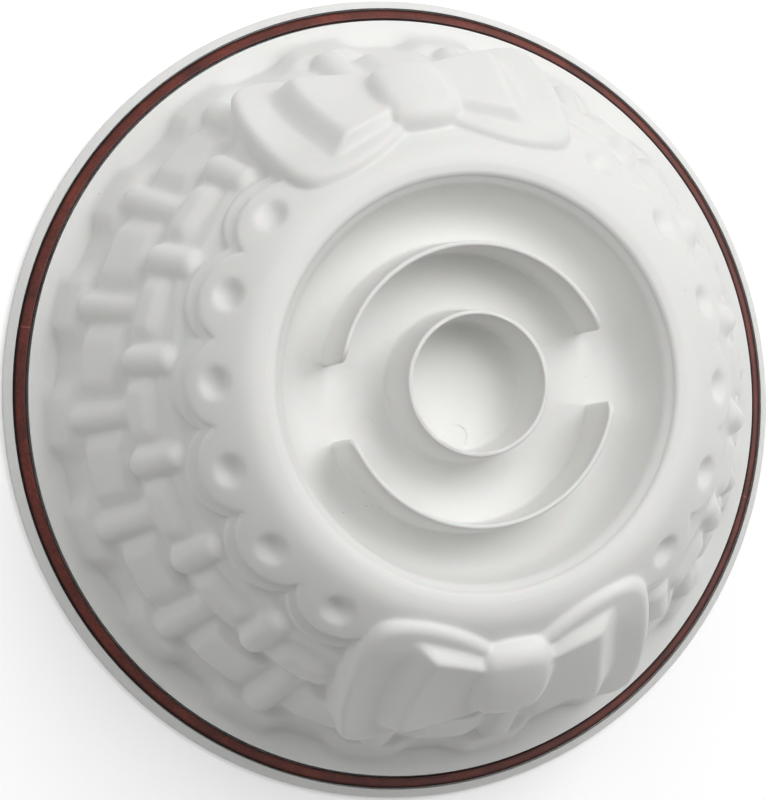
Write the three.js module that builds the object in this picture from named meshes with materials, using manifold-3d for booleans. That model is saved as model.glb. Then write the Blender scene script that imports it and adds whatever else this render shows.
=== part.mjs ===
// Basket-shaped silicone mould, standing on its rim with the opening down.
// Two pieces: the white silicone moulding, and the brown stiffening ring that
// drops into a groove round the rim. Millimetres, +Z up, the two bows on +Y and -Y.
import * as THREE from 'three';
import Module from 'manifold-3d';
import { mergeVertices } from 'three/addons/utils/BufferGeometryUtils.js';

const wasm = await Module();
wasm.setup();

// Overall sizes
const RIM_R = 110; // outer edge of the rim lip
const CREST_Z = 80; // crest round the dish, and the top of the feet
const WALL = 2; // silicone wall thickness

// Rim, groove and stiffening ring, worked inwards from the edge of the rim
const LIP_WIDTH = 2.1; // lip that shows outside the ring
const LIP_Z = 2; // height of the outer lip
const LIP_EDGE = 0.5; // bevel under the lip
const RING_WIDTH = 4;
const RING_OUTER_R = RIM_R - LIP_WIDTH;
const RING_INNER_R = RING_OUTER_R - RING_WIDTH;
const LEDGE = 0.9; // silicone between the ring and the flange
const FLANGE = 6.5; // flange between the ledge and the foot of the wall
const FLANGE_R = RING_INNER_R - LEDGE;
const FOOT_R = FLANGE_R - FLANGE; // where the basket wall leaves the flange
const FOOT_Z = 7.5;
const FOOT_TUCK = 0.2; // rim's inner edge lies this far inside the wall
const MOUTH_R = FLANGE_R - WALL; // cavity radius at the rim
const RING_BOTTOM_Z = 1.7;
const RING_SLOPE_Z = [6.4, 3.2]; // ring top at its inner and outer edge
const FLANGE_Z = 6.7; // flange beside the ring
const RING_EDGE = 0.35; // bevel on the ring's edges
const RING_SIDE_GAP = 0.3; // groove clearance beside the ring
const RING_SEAT_GAP = 0.05; // groove clearance below the ring
const OPEN_BELOW = 1; // cavity's solid reaches this far out of the mouth

// Woven basket wall
const WALL_TOP_R = 78.1;
const WALL_TOP_Z = 58;
const PERIOD_DEG = 20; // one over-and-under of the weave
const WEAVE_TWIST_DEG = 5.5; // the weave starts this far before the bows' plane
const WEAVE_CROWDING = 0.075; // and its stakes stand this much closer half-way between the bows
const STRAND_BULGE = 2.7; // how far a strand stands out where it passes over a stake
const STRAND_ROUND = 0.27; // half width of a strand's flat, as a share of the row pitch
const ROW_Z = [13, 29.5, 46]; // heights of the three woven rows
const ROW_PITCH = 16.5;
const ROW_PHASE_DEG = [0, 10, 0]; // where each row's strand bulges most
const PEG_R = 6.8; // half width of a stake
const PEG_SINK = 2.6; // how far a stake's middle lies behind the wall
const PEG_LENGTH = [27, 21]; // stakes of the middle and the upper row
const PEG_LIFT = [0, 3.5]; // how far their middles lie above the row's
const PEG_PROUD = 4.3; // how far a stake stands out of the wall
const STAKE_SIDES = 6;
const STAKE_RINGS = 4;

// Cloth laid over the basket, with a scalloped double hem
const CLOTH = [[60, 80], [65, 78.4], [70, 74.1], [75.6, 67.1], [81.5, 58.8]];
const LAYER_STEP = 1.2; // drop from one layer of the hem to the next
const HEM_SINK = 2; // the lowest layer's edge runs this far into the wall
const SHOULDER_R = 66; // plan radius where the plain shoulder starts
const CLOTH_DEPTH = 22; // how far the cloth's solid reaches down inside
const SCALLOP_R = 14.5; // radius of one scallop
const SCALLOP_TIP_R = 75.8; // plan radius of the scallop tips on the top layer
const HEM_GROW = [0, 2, 4.1]; // plan growth of the hem's layers
const DIMPLE_R = 3.4;
const DIMPLE_PLACE = [70.6, 75.4]; // radius and height of the dimple's ball
const CLOTH_WALL = 3.2; // wall thickness under the cloth, so that the dimples don't pierce it

// Dish in the base, with the feet that stand in it
const DISH_R = 57.2; // dish mouth, inside the crest
const DISH_FLOOR_R = 46.5;
const DISH_DEPTH = 18;
const DISH_ROUND = 3;
const DISH_OVER = 4; // the dish's cut reaches this far above the crest
const DISH_FLARE = 0.5;
const FOOT_CUP_R = 20; // round foot
const FOOT_ARC_R = 38.6; // two arc-shaped feet
const FOOT_ARC_SPAN_DEG = 155;
const FOOT_THICK = 1.5;
const FOOT_DRAFT = 0.9; // foot wall is this much thicker at its root
const FOOT_EDGE = 0.4; // bevel on the round foot's rim

// Bows: a flat of loops leaning on the shoulder, a raised pillow on each, and a knot
const BOW_Y = 74; // middle of the bow's face
const BOW_Z = 58;
const BOW_TILT_DEG = 36.4; // lift of the face's normal
const LOOP_PROUD = 0;
const PILLOW_PROUD = 5.6;
const KNOT_PROUD = 10.2;
const LOOP_DEEP = 15;
const LOOP_OUT = 40.5; // half width over both loops
const LOOP_HALF = 25.4; // half height of a loop at its outer end
const LOOP_NECK = 12; // half height at the knot
const LOOP_ROOT = 4; // inner end of a loop, under the knot
const LOOP_TURN = [23, 20]; // where a loop's upper and lower edge reach their full spread
const LOOP_SPLAY = 1; // loops spread this much more at their outer corners
const BOW_CORNER = 5; // rounding of the outlines' corners
const CORNER_INSET = 1.9; // corners inside are plain, so they move in by this many wall thicknesses
const PILLOW_ROOT = 5;
const PILLOW_OUT = 32;
const PILLOW_LEAN = [2, 5, 3]; // pillow's corners drawn in at the neck, the top and the root
const PILLOW_TOP = 20;
const PILLOW_BOTTOM = 14.5;
const KNOT_HALF = 11.6;
const KNOT_TOP = 20.5;
const KNOT_BOTTOM = 10.5;
const BOW_ROUND = 3.2; // soft edge of loops and pillows
const KNOT_ROUND = 4; // soft edge of the knot
const BOW_HIDES_STAKES_DEG = [9, 31]; // a bow covers the upper stakes between these angles from its middle
const BOW_HIDES_CLOTH_DEG = 25; // and the hem this far
const BOW_HIDES_DIMPLES_DEG = 30; // and the dimples this far

// Facets
const TURN = 72; // round the basket and the rim
const SCALLOP_STEPS = 6; // along one scallop
const HIDDEN_STEPS = 2; // along one under a bow
const CAVITY_STEPS = 4; // along one inside
const DISH_TURN = 36;
const CUP_TURN = 28;
const ARC_STEPS = 10;

const rad = THREE.MathUtils.degToRad;
const FULL_TURN_DEG = THREE.MathUtils.radToDeg(2 * Math.PI);

/** Angle from the middle of the nearest bow, in degrees. */
function fromBow(deg) {
  return THREE.MathUtils.radToDeg(Math.acos(Math.min(1, Math.abs(Math.sin(rad(deg))))));
}

/** Closed solid from a three.js geometry. */
function solid(geometry) {
  let bare = geometry.index ? geometry.toNonIndexed() : geometry.clone();
  bare.deleteAttribute('normal');
  bare.deleteAttribute('uv');
  bare = mergeVertices(bare, 1e-4);
  const vertProperties = Float32Array.from(bare.attributes.position.array);
  const corners = Uint32Array.from(bare.index.array);
  const keep = [];
  for (let i = 0; i < corners.length; i += 3) {
    const [a, b, c] = corners.slice(i, i + 3);
    if (a !== b && b !== c && c !== a) keep.push(a, b, c);
  }
  const mesh = new wasm.Mesh({ numProp: 3, vertProperties, triVerts: Uint32Array.from(keep) });
  return new wasm.Manifold(mesh);
}

/** three.js geometry from a closed solid. */
function geometryOf(body) {
  const mesh = body.getMesh();
  const geometry = new THREE.BufferGeometry();
  geometry.setAttribute('position', new THREE.BufferAttribute(Float32Array.from(mesh.vertProperties), 3));
  geometry.setIndex(new THREE.BufferAttribute(Uint32Array.from(mesh.triVerts), 1));
  geometry.computeVertexNormals();
  return geometry;
}

/** Turned solid about Z from [radius, height] points, bottom to top. */
function turned(points, segments) {
  const geometry = new THREE.LatheGeometry(points.map(([r, z]) => new THREE.Vector2(r, z)), segments);
  geometry.rotateX(Math.PI / 2);
  return geometry;
}

/** Open line of [radius, height] points moved inwards, square to itself. */
function inset(points, distance) {
  return points.map((point, i) => {
    const before = points[Math.max(i - 1, 0)];
    const after = points[Math.min(i + 1, points.length - 1)];
    const run = new THREE.Vector2(after[0] - before[0], after[1] - before[1]).normalize();
    return [point[0] + run.y * distance, point[1] - run.x * distance];
  });
}

/** Radius of the plain basket wall at a height. */
function wallRadius(z) {
  return THREE.MathUtils.mapLinear(z, FOOT_Z, WALL_TOP_Z, FOOT_R, WALL_TOP_R);
}

/** Slope of the basket wall from upright. */
const WALL_LEAN = Math.atan2(FOOT_R - WALL_TOP_R, WALL_TOP_Z - FOOT_Z);

/** Heights up the basket wall, each with its woven row and the strand's share of bulge. */
function wovenWall(fine) {
  const points = [{ z: FOOT_Z, row: 0, bulge: 0 }];
  ROW_Z.forEach((z, row) => {
    const flat = fine && row > 0 ? [z - ROW_PITCH * STRAND_ROUND, z + ROW_PITCH * STRAND_ROUND] : [z];
    flat.forEach((height) => points.push({ z: height, row, bulge: 1 }));
    points.push({ z: z + ROW_PITCH / 2, row, bulge: 0 });
  });
  return points;
}

/** Angle round the basket of an angle in the weave, which is crowded by k / 2 sin 2t and turned. */
function weaveTurn(angle) {
  const even = angle - rad(WEAVE_TWIST_DEG);
  let turn = even;
  for (let k = 0; k < 4; k += 1) turn = even - (WEAVE_CROWDING / 2) * Math.sin(2 * turn);
  return turn;
}

/** How far the weave stands out: strands swell over hidden stakes, and bare stakes stand between. */
function weave(angle, { row, bulge }, withStakes) {
  const phase = (FULL_TURN_DEG / PERIOD_DEG) * (angle - rad(ROW_PHASE_DEG[row]));
  const strand = STRAND_BULGE * bulge * (0.5 + 0.5 * Math.cos(phase));
  const stake = withStakes && row > 0 && bulge > 0 && Math.cos(phase) < -0.99 ? PEG_PROUD : 0;
  return Math.max(strand, stake);
}

/** Basket body under the cloth: woven wall, shoulder and a closed top, moved inwards. */
function basket(distance) {
  const woven = wovenWall(distance === 0);
  const side = woven.map(({ z }) => [wallRadius(z), z]);
  const top = inset([...CLOTH].reverse().slice(1), -LAYER_STEP * HEM_GROW.length);
  const skin = inset([...side, ...top], -distance);
  const crest = skin[skin.length - 1];
  const underFlange = [[MOUTH_R, FLANGE_Z - WALL], [FOOT_R - WALL / 2, FOOT_Z - WALL]];
  const plain = [[0, OPEN_BELOW], [FOOT_R, OPEN_BELOW]];
  const bottom = distance > 0 ? [[0, -OPEN_BELOW], [MOUTH_R, -OPEN_BELOW], ...underFlange] : plain;
  const points = [...bottom, ...skin, [0, crest[1]]];
  const geometry = turned(points, TURN);
  const position = geometry.attributes.position;
  for (let i = 0; i < position.count; i += 1) {
    const place = woven[(i % points.length) - bottom.length];
    const flat = new THREE.Vector2(position.getX(i), position.getY(i));
    const angle = flat.angle();
    const out = place ? weave(angle, place, distance > 0) : 0;
    const radius = flat.length() + out;
    position.setXY(i, radius * Math.cos(weaveTurn(angle)), radius * Math.sin(weaveTurn(angle)));
  }
  return solid(geometry);
}

/** Stakes of the weave that show between the strands. */
function stakes() {
  const bodies = [];
  [1, 2].forEach((row) => {
    for (let deg = 0; deg < FULL_TURN_DEG; deg += PERIOD_DEG) {
      const turn = THREE.MathUtils.radToDeg(weaveTurn(rad(deg + ROW_PHASE_DEG[row] + PERIOD_DEG / 2)));
      const [from, to] = BOW_HIDES_STAKES_DEG;
      if (row === 2 && fromBow(turn) > from && fromBow(turn) < to) continue;
      const geometry = new THREE.SphereGeometry(1, STAKE_SIDES, STAKE_RINGS);
      geometry.rotateX(Math.PI / 2);
      geometry.rotateZ(Math.PI / STAKE_SIDES);
      const position = geometry.attributes.position;
      for (let i = 0; i < position.count; i += 1) {
        const z = position.getZ(i);
        position.setZ(i, Math.sign(z) * Math.sqrt(Math.abs(z)));
      }
      const reach = (PEG_PROUD + PEG_SINK) / Math.cos(Math.PI / STAKE_SIDES);
      geometry.scale(reach, PEG_R, PEG_LENGTH[row - 1] / 2);
      geometry.translate(-PEG_SINK, 0, 0);
      geometry.rotateY(-WALL_LEAN);
      const middle = ROW_Z[row] + PEG_LIFT[row - 1];
      geometry.translate(wallRadius(middle), 0, middle);
      geometry.rotateZ(rad(turn));
      bodies.push(solid(geometry));
    }
  });
  return bodies;
}

/** Plan radius of the cloth's scalloped edge at an angle. */
function scallop(turn) {
  const period = rad(PERIOD_DEG);
  const off = THREE.MathUtils.euclideanModulo(turn, period) - period / 2;
  const centre = SCALLOP_TIP_R - SCALLOP_R;
  return centre * Math.cos(off) + Math.sqrt(SCALLOP_R ** 2 - (centre * Math.sin(off)) ** 2);
}

/** Point on the cloth's curve at a radius, sunk square to the curve. */
function onCloth(radius, depth) {
  const next = CLOTH.findIndex(([r], i) => i > 0 && (radius <= r || i === CLOTH.length - 1));
  const [a, b] = [CLOTH[next - 1], CLOTH[next]];
  const share = (radius - a[0]) / (b[0] - a[0]);
  const along = new THREE.Vector2(b[0] - a[0], b[1] - a[1]).normalize();
  return [radius + along.y * depth, THREE.MathUtils.lerp(a[1], b[1], share) - along.x * depth];
}

/** Angles round the cloth: close together on the scallops that show, wide apart under the bows. */
function clothTurns(steps) {
  const turns = [];
  for (let deg = 0; deg < FULL_TURN_DEG; deg += PERIOD_DEG) {
    const underBow = fromBow(deg + PERIOD_DEG / 2) < BOW_HIDES_CLOTH_DEG;
    const count = underBow ? HIDDEN_STEPS : steps;
    for (let k = 0; k < count; k += 1) turns.push(rad(deg + (PERIOD_DEG * k) / count));
  }
  return turns;
}

/** Cloth over the shoulder: the stepped hem, with every edge scalloped, then the plain shoulder. */
function cloth(distance) {
  const thick = distance > 0 ? CLOTH_WALL : 0;
  const layers = distance > 0 ? HEM_GROW.slice(0, 1) : HEM_GROW;
  const turns = clothTurns(distance > 0 ? CAVITY_STEPS : SCALLOP_STEPS);
  const rows = [];
  layers.forEach((grow, layer) => {
    const top = layer * LAYER_STEP + thick;
    const sink = layer === layers.length - 1 ? HEM_SINK : 0;
    rows.unshift({ grow, depth: top + LAYER_STEP + sink }, { grow, depth: top });
  });
  const shoulder = [SHOULDER_R, CLOTH[0][0]].map((r) => onCloth(r - thick / 2, thick));
  const low = Math.min(...shoulder.map(([, z]) => z)) - CLOTH_DEPTH;
  const crest = shoulder[shoulder.length - 1][1];
  const flat = [[0, low], ...rows.map(() => [1, low]), ...shoulder, [0, crest]];
  const geometry = turned(flat, turns.length);
  const position = geometry.attributes.position;
  for (let i = 0; i < position.count; i += 1) {
    const turn = turns[Math.floor(i / flat.length) % turns.length];
    const row = rows[(i % flat.length) - 1];
    const [r, z] = row ? onCloth(scallop(turn) + row.grow - thick, row.depth) : flat[i % flat.length];
    position.setXYZ(i, r * Math.cos(turn), r * Math.sin(turn), z);
  }
  return solid(geometry);
}

/** Balls that press the dimples into the scallops. */
function dimples() {
  const bodies = [];
  for (let deg = PERIOD_DEG / 2; deg < FULL_TURN_DEG; deg += PERIOD_DEG) {
    if (fromBow(deg) < BOW_HIDES_DIMPLES_DEG) continue;
    const ball = new THREE.SphereGeometry(DIMPLE_R, 6, 5);
    ball.translate(DIMPLE_PLACE[0], 0, DIMPLE_PLACE[1]);
    ball.rotateZ(rad(deg));
    bodies.push(solid(ball));
  }
  return bodies;
}

/** Outline through corner points, each corner rounded. */
function roundedOutline(corners, radius) {
  const outline = new THREE.Shape();
  corners.forEach((corner, i) => {
    const before = corners[(i + corners.length - 1) % corners.length];
    const after = corners[(i + 1) % corners.length];
    const back = before.clone().sub(corner);
    const ahead = after.clone().sub(corner);
    const backRun = Math.min(radius, back.length() / 2.1);
    const aheadRun = Math.min(radius, ahead.length() / 2.1);
    const start = corner.clone().addScaledVector(back.normalize(), backRun);
    const end = corner.clone().addScaledVector(ahead.normalize(), aheadRun);
    if (i === 0) outline.moveTo(start.x, start.y);
    else outline.lineTo(start.x, start.y);
    outline.quadraticCurveTo(corner.x, corner.y, end.x, end.y);
  });
  outline.closePath();
  return outline;
}

/** Soft-edged slab on the bow's face: outline corners as [across, down the face]. */
function bowSlab(corners, proud, side, distance, round) {
  const points = corners.map(([across, down]) => new THREE.Vector2(across, -down));
  const middle = points.reduce((sum, p) => sum.add(p), new THREE.Vector2()).divideScalar(points.length);
  const inner = points.map((p) => {
    const out = p.clone().sub(middle);
    return p.clone().addScaledVector(out.normalize(), -distance * CORNER_INSET);
  });
  const edge = Math.max(round - distance * 0.5, 1);
  const shrunk = inner.map((p) => {
    const out = p.clone().sub(middle);
    return p.clone().addScaledVector(out.normalize(), -edge * 1.15);
  });
  const outline = distance > 0 ? new THREE.Shape(shrunk) : roundedOutline(shrunk, BOW_CORNER);
  const geometry = new THREE.ExtrudeGeometry(outline, {
    depth: LOOP_DEEP + proud - distance - edge * 2,
    bevelEnabled: true,
    bevelSize: edge,
    bevelThickness: edge,
    bevelSegments: distance > 0 ? 1 : 2,
    curveSegments: 2,
  });
  geometry.translate(0, 0, edge - LOOP_DEEP);
  geometry.rotateX(Math.PI / 2 - rad(BOW_TILT_DEG));
  geometry.rotateZ(Math.PI);
  geometry.translate(0, BOW_Y, BOW_Z);
  if (side < 0) geometry.rotateZ(Math.PI);
  return solid(geometry);
}

/** One bow: two loops, a pillow on each, and the knot. */
function bow(side, distance) {
  const slabs = [];
  [1, -1].forEach((hand) => {
    const loop = [
      [LOOP_ROOT, -LOOP_NECK], [LOOP_TURN[0], -LOOP_HALF - LOOP_SPLAY], [LOOP_OUT, -LOOP_HALF],
      [LOOP_OUT + LOOP_SPLAY, LOOP_HALF], [LOOP_TURN[1], LOOP_HALF], [LOOP_ROOT, LOOP_NECK],
    ];
    const [neck, top, root] = PILLOW_LEAN;
    const pillow = [
      [PILLOW_ROOT, neck - LOOP_NECK], [PILLOW_OUT - top, -PILLOW_TOP],
      [PILLOW_OUT, PILLOW_BOTTOM], [PILLOW_ROOT, PILLOW_BOTTOM - root],
    ];
    const handed = (corners) => {
      const turnedOver = corners.map(([across, down]) => [across * hand, down]);
      return hand > 0 ? turnedOver.reverse() : turnedOver;
    };
    slabs.push(bowSlab(handed(loop), LOOP_PROUD, side, distance, BOW_ROUND));
    slabs.push(bowSlab(handed(pillow), PILLOW_PROUD, side, distance, BOW_ROUND));
  });
  const knot = [
    [-KNOT_HALF, KNOT_BOTTOM], [KNOT_HALF, KNOT_BOTTOM],
    [KNOT_HALF, -KNOT_TOP], [-KNOT_HALF, -KNOT_TOP],
  ];
  slabs.push(bowSlab(knot, KNOT_PROUD, side, distance, KNOT_ROUND));
  return slabs;
}

/** Dish sunk into the base, rounded at its mouth and floor. */
function dish(distance) {
  const floor = CREST_Z - DISH_DEPTH;
  const line = [
    [DISH_FLOOR_R - DISH_ROUND, floor],
    [DISH_FLOOR_R - DISH_ROUND * 0.3, floor + DISH_ROUND * 0.3],
    [DISH_FLOOR_R + DISH_ROUND * 0.8, floor + DISH_ROUND * 1.4],
    [DISH_R - DISH_ROUND * 0.7, CREST_Z - DISH_ROUND * 1.2],
    [DISH_R, CREST_Z - DISH_ROUND * 0.35],
    [DISH_R + DISH_ROUND, CREST_Z],
    [DISH_R + DISH_ROUND + DISH_FLARE, CREST_Z + DISH_OVER],
  ];
  const moved = inset(line, distance);
  const points = [[0, moved[0][1]], ...moved, [0, CREST_Z + DISH_OVER]];
  return solid(turned(points, distance > 0 ? DISH_TURN * 0.75 : DISH_TURN));
}

/** Rim of the mould, sloping from the basket wall to the lip. */
function rim() {
  const inside = FOOT_R - WALL;
  const ledge = RING_INNER_R - RING_SIDE_GAP;
  const points = [
    [inside, 0], [RIM_R - LIP_EDGE, 0], [RIM_R, LIP_EDGE], [RIM_R, LIP_Z],
    [ledge, FLANGE_Z], [FOOT_R - FOOT_TUCK, FOOT_Z], [inside, FOOT_Z],
    [inside, 0],
  ];
  return solid(turned(points, TURN));
}

/** Section of the stiffening ring: upright sides and a sloping top, edges bevelled. */
function ringSection() {
  const [high, low] = RING_SLOPE_Z;
  return [
    [RING_INNER_R + RING_EDGE, RING_BOTTOM_Z], [RING_OUTER_R - RING_EDGE, RING_BOTTOM_Z],
    [RING_OUTER_R, RING_BOTTOM_Z + RING_EDGE], [RING_OUTER_R, low - RING_EDGE],
    [RING_OUTER_R - RING_EDGE, low], [RING_INNER_R + RING_EDGE, high],
    [RING_INNER_R, high - RING_EDGE], [RING_INNER_R, RING_BOTTOM_Z + RING_EDGE],
    [RING_INNER_R + RING_EDGE, RING_BOTTOM_Z],
  ];
}

/** Section of the groove, open at the top so that the ring lifts straight out. */
function grooveSection() {
  const inner = RING_INNER_R - RING_SIDE_GAP;
  const outer = RING_OUTER_R + RING_SIDE_GAP;
  const bottom = RING_BOTTOM_Z - RING_SEAT_GAP;
  const top = FOOT_Z + RING_BOTTOM_Z;
  return [[inner, bottom], [outer, bottom], [outer, top], [inner, top], [inner, bottom]];
}

/** Round foot in the middle of the dish. */
function footCup() {
  const root = CREST_Z - DISH_DEPTH - WALL / 2;
  const inner = FOOT_CUP_R - FOOT_THICK;
  const points = [
    [inner - FOOT_DRAFT, root], [FOOT_CUP_R + FOOT_DRAFT, root], [FOOT_CUP_R, CREST_Z - FOOT_EDGE],
    [FOOT_CUP_R - FOOT_EDGE, CREST_Z], [inner, CREST_Z], [inner - FOOT_DRAFT, root],
  ];
  return solid(turned(points, CUP_TURN));
}

/** Arc-shaped foot. */
function footArc(side) {
  const half = rad(FOOT_ARC_SPAN_DEG / 2);
  const middle = (Math.PI / 2) * side;
  const radius = FOOT_ARC_R - FOOT_THICK / 2;
  const outline = new THREE.Shape();
  outline.absarc(0, 0, radius + FOOT_THICK / 2, middle - half, middle + half, false);
  outline.absarc(0, 0, radius - FOOT_THICK / 2, middle + half, middle - half, true);
  outline.closePath();
  const root = CREST_Z - DISH_DEPTH - WALL / 2;
  const geometry = new THREE.ExtrudeGeometry(outline, {
    depth: CREST_Z - root, bevelEnabled: false, curveSegments: ARC_STEPS,
  });
  geometry.translate(0, 0, root);
  return solid(geometry);
}

/** Whole form of the mould on one side of its wall: outside at 0, cavity at the wall thickness. */
function form(distance) {
  const bows = [...bow(1, distance), ...bow(-1, distance)];
  const added = [basket(distance), cloth(distance), ...bows];
  const removed = [dish(distance)];
  if (distance === 0) {
    added.push(...stakes());
    removed.push(...dimples());
  }
  return wasm.Manifold.union(added).subtract(wasm.Manifold.union(removed));
}

const outside = wasm.Manifold.union([form(0), rim()]);
const cavity = form(WALL);
const groove = solid(turned(grooveSection(), TURN));
const shell = outside.subtract(wasm.Manifold.union([cavity, groove]));
const moulding = wasm.Manifold.union([shell, footCup(), footArc(1), footArc(-1)]);

const silicone = new THREE.MeshStandardMaterial({ color: 0xeeefed, roughness: 0.55, metalness: 0 });
const brown = new THREE.MeshStandardMaterial({ color: 0x74382f, roughness: 0.5, metalness: 0 });

const mouldBody = new THREE.Mesh(geometryOf(moulding), silicone);
mouldBody.name = 'mould_body';

const ringGeometry = geometryOf(solid(turned(ringSection(), TURN)));
const stiffeningRing = new THREE.Mesh(ringGeometry, brown);
stiffeningRing.name = 'stiffening_ring';

const basketMould = new THREE.Group();
basketMould.add(mouldBody, stiffeningRing);

export default basketMould;
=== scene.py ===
"""Basket-shaped silicone mould, standing on its rim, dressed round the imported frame.

Two pieces are made here: the white silicone moulding, which stands for the CAD
body, and the brown stiffening ring in the groove round its rim. Sizes are in
millimetres, and they become metres when a mesh is made. The Z axis goes up through
the middle of the dish, and the two bows lie on +Y and -Y.
"""

import logging
import math
from dataclasses import dataclass, field
from enum import Enum
from itertools import product
from typing import Any, Optional, Sequence

import bpy
import numpy as np
from mathutils import Matrix, Vector


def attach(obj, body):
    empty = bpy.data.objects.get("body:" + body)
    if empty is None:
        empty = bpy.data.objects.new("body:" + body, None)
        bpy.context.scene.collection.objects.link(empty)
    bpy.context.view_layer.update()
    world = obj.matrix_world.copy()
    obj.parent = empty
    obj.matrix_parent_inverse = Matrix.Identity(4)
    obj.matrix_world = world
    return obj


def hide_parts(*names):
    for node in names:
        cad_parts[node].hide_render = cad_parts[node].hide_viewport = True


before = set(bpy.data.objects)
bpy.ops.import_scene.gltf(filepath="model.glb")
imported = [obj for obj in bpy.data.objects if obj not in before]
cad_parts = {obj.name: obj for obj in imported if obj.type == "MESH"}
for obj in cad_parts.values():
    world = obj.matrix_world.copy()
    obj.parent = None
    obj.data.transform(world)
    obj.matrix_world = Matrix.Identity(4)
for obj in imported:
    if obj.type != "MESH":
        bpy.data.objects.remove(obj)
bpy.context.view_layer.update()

log = logging.getLogger("basket_mould")

Array = np.ndarray
Points = Sequence[tuple[float, float]]
Solid = bpy.types.Object
Socket = bpy.types.NodeSocket
Tree = bpy.types.NodeTree

MM = 0.001
# A radius below this counts as being on the axis
ON_AXIS = 1e-6
# Radius past the axis at which the outlines of turned forms close
PAST_AXIS = -60.0
# Distance that puts a form out of reach where a bow hides it
HIDDEN = np.float32(99)


class Slot(Enum):
    """Material slots of the record."""

    SILICONE = "white_silicone"
    RING = "brown_ring"


class Body(Enum):
    """Bodies of the frame."""

    MOULD = "mould"
    RING = "ring"


class Cut(Enum):
    """Ways in which one solid changes another."""

    JOIN = "UNION"
    REMOVE = "DIFFERENCE"


# Meshes


def put_mesh(name: str, vertices: Array, quads: Array, triangles: Optional[Array] = None) -> Solid:
    """Makes an object from whole arrays of points and faces.

    Args:
        name: Name of the object and its mesh.
        vertices: Points in millimetres, one per row.
        quads: Four point numbers per row.
        triangles: Three point numbers per row, if there are any.

    Returns:
        The object, linked to the scene.
    """
    three = np.empty((0, 3), int) if triangles is None else triangles
    corners = np.concatenate([quads.ravel(), three.ravel()]).astype(np.int32)
    sizes = np.concatenate([np.full(len(quads), 4), np.full(len(three), 3)])
    starts = np.concatenate([[0], np.cumsum(sizes)[:-1]]).astype(np.int32)
    mesh = bpy.data.meshes.new(name)
    mesh.vertices.add(len(vertices))
    mesh.vertices.foreach_set("co", vertices.astype(np.float32).ravel())
    mesh.loops.add(len(corners))
    mesh.loops.foreach_set("vertex_index", corners)
    mesh.polygons.add(len(sizes))
    mesh.polygons.foreach_set("loop_start", starts)
    mesh.update(calc_edges=True)
    mesh.validate()
    made = bpy.data.objects.new(name, mesh)
    bpy.context.scene.collection.objects.link(made)
    return made


def in_metres(source: Solid) -> Solid:
    """Scales a finished mesh from millimetres to the scene's metres.

    Args:
        source: Object whose mesh is in millimetres.

    Returns:
        The same object.
    """
    source.data.transform(Matrix.Scale(MM, 4))
    source.data.update()
    return source


def turned(name: str, profile: Array, segments: int) -> Solid:
    """Turned solid: point (r, z) of a closed profile goes to (r cos t, r sin t, z).

    The profile runs anticlockwise in the plane of radius and height, so that faces
    point outwards. Where it touches the axis, the points of a turn are merged.

    Args:
        name: Name of the object.
        profile: Closed profile, one (radius, height) per row, first point not repeated.
        segments: Steps round the axis.

    Returns:
        The turned object.
    """
    turn = np.arange(segments) * 2 * np.pi / segments
    radius, height = profile[:, 0], profile[:, 1]
    grid = np.stack(
        [
            np.cos(turn)[:, None] * radius,
            np.sin(turn)[:, None] * radius,
            np.broadcast_to(height, (segments, len(profile))),
        ],
        axis=-1,
    )
    index = np.arange(segments * len(profile)).reshape(segments, len(profile))
    index[:, radius < ON_AXIS] = index[0, radius < ON_AXIS]
    ahead, up = np.roll(index, -1, axis=0), np.roll(index, -1, axis=1)
    both = np.roll(ahead, -1, axis=1)
    quads = np.stack([index, ahead, both, up], axis=-1).reshape(-1, 4)
    low, high = quads[:, 0] == quads[:, 1], quads[:, 2] == quads[:, 3]
    triangles = np.concatenate([quads[low & ~high][:, [0, 2, 3]], quads[high & ~low][:, [0, 1, 2]]])
    return put_mesh(name, *tidy_points(grid.reshape(-1, 3), quads[~low & ~high], triangles))


def tidy_points(vertices: Array, quads: Array, triangles: Array) -> tuple[Array, Array, Array]:
    """Drops the points that no face uses.

    Args:
        vertices: All points.
        quads: Four point numbers per row.
        triangles: Three point numbers per row.

    Returns:
        The used points, and the faces numbered anew.
    """
    used = np.unique(np.concatenate([quads.ravel(), triangles.ravel()]))
    number = np.zeros(len(vertices), int)
    number[used] = np.arange(len(used))
    return vertices[used], number[quads], number[triangles]


def settled(source: Solid, name: str) -> Solid:
    """Bakes an object's modifiers into a new object and deletes the old one.

    Args:
        source: Object with modifiers.
        name: Name of the new object.

    Returns:
        The object with the finished mesh.
    """
    graph = bpy.context.evaluated_depsgraph_get()
    mesh = bpy.data.meshes.new_from_object(source.evaluated_get(graph))
    bpy.data.objects.remove(source)
    mesh.name = name
    made = bpy.data.objects.new(name, mesh)
    bpy.context.scene.collection.objects.link(made)
    return made


def thinned(source: Solid, triangles: int) -> Solid:
    """Merges faces where the surface is nearly flat, down to a number of triangles.

    Args:
        source: Object with a dense mesh.
        triangles: Triangles to keep.

    Returns:
        The lighter object.
    """
    source.data.calc_loop_triangles()
    dense = len(source.data.loop_triangles)
    if dense <= triangles:
        return source
    modifier = source.modifiers.new("thin", "DECIMATE")
    modifier.ratio = triangles / dense
    modifier.use_collapse_triangulate = True
    return settled(source, source.name)


def combined(base: Solid, steps: Sequence[tuple[Cut, Solid]], name: str) -> Solid:
    """Joins solids to a base and cuts others out of it, in order.

    Args:
        base: Solid to start from.
        steps: What is done, and with which solid.
        name: Name of the finished object.

    Returns:
        One closed solid. The solids that went into it are deleted.
    """
    for cut, tool in steps:
        modifier = base.modifiers.new(tool.name, "BOOLEAN")
        modifier.operation = cut.value
        modifier.solver = "MANIFOLD"
        modifier.object = tool
    made = settled(base, name)
    for _, tool in steps:
        bpy.data.objects.remove(tool)
    return made


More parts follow.
